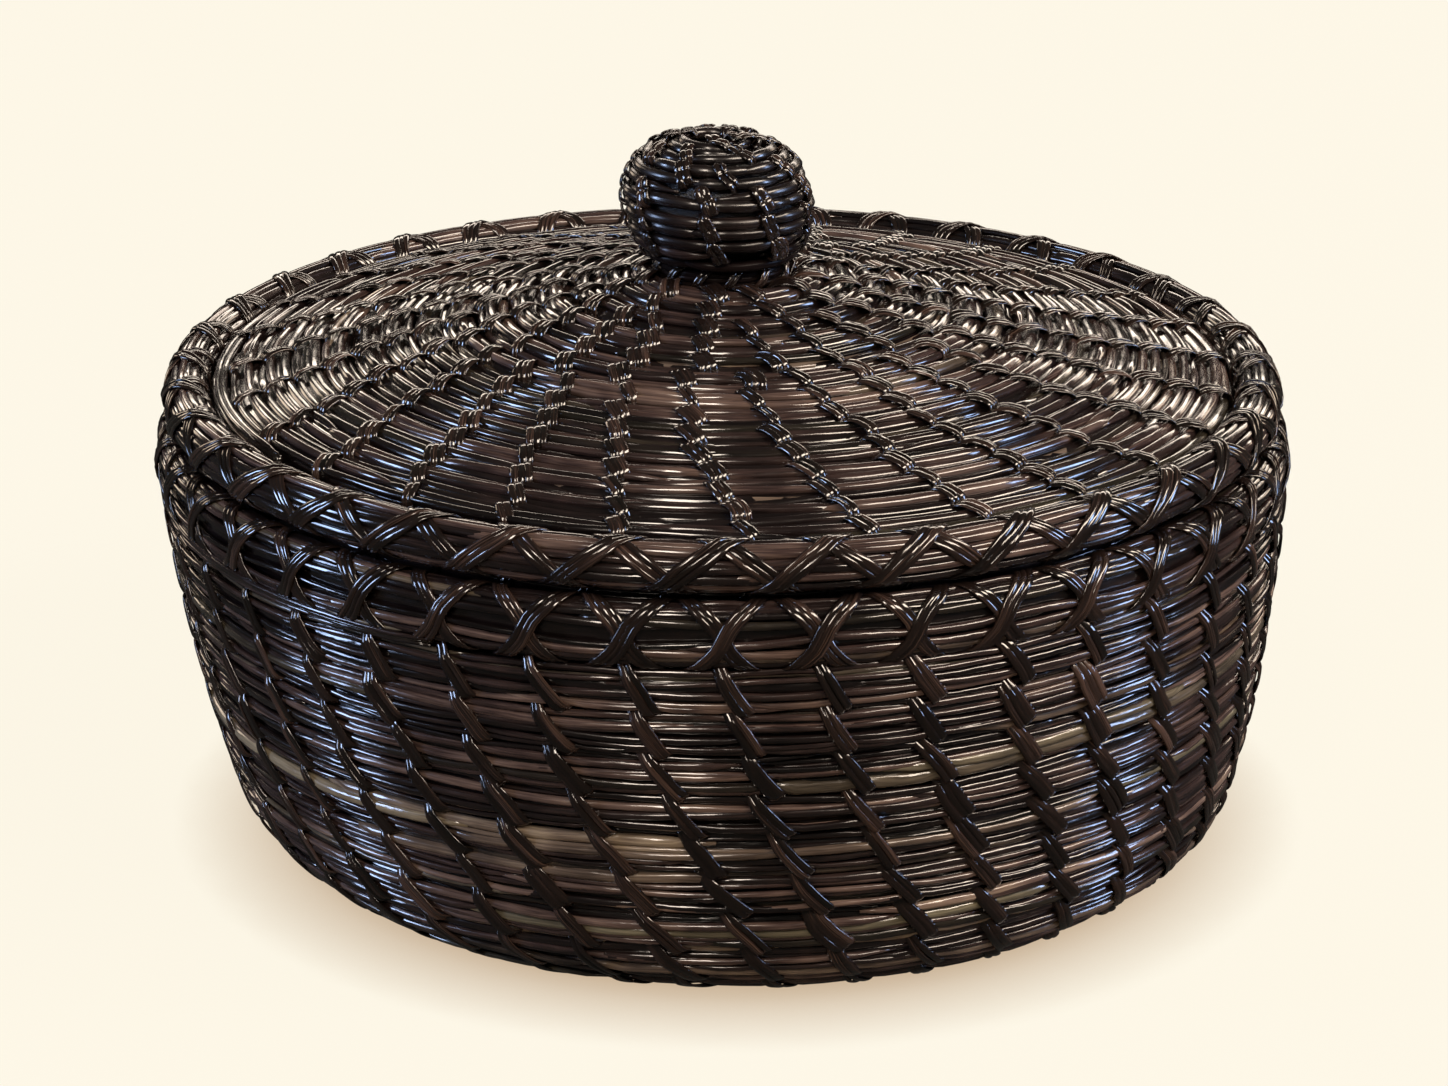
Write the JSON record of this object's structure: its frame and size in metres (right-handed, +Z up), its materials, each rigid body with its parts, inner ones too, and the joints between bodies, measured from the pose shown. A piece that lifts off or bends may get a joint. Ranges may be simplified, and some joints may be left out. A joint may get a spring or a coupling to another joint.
{
  "type": "lidded coiled basket",
  "caption": "Round basket coiled from dyed grass for keeping flatbread, with a shallow cone lid that lifts off by a wound knob and cross-lashed rims.",
  "frame": {"origin": "on the surface the basket stands on, under the middle of its mouth", "axes": "+Z up, the way the lid lifts; the pictured front is at -Y and +X is to its right"},
  "size_m": [0.2548, 0.2548, 0.1594],
  "materials": {
    "body_grass": "glossy dyed grass stems",
    "lid_grass": "glossy dyed grass stems",
    "knob_grass": "glossy dyed grass stems",
    "lashing_strand": "glossy dyed split leaf"
  },
  "bodies": {
    "basket": {"base_coil": "body_grass", "wall_coil": "body_grass", "basket_rim_bundle": "body_grass", "basket_rim_lashing_under": "lashing_strand", "basket_rim_lashing_over": "lashing_strand"},
    "lid": {"lid_coil": "lid_grass", "lid_rim_bundle": "lid_grass", "lid_rim_lashing_under": "lashing_strand", "lid_rim_lashing_over": "lashing_strand", "lid_locating_ring": "lid_grass", "knob_coil": "knob_grass", "knob_core": "knob_grass"}
  },
  "joints": [
    {"name": "lid_lift", "type": "slide", "parent": "basket", "child": "lid", "axis": [0, 0, 1], "range_m": [0, 0.12]}
  ]
}
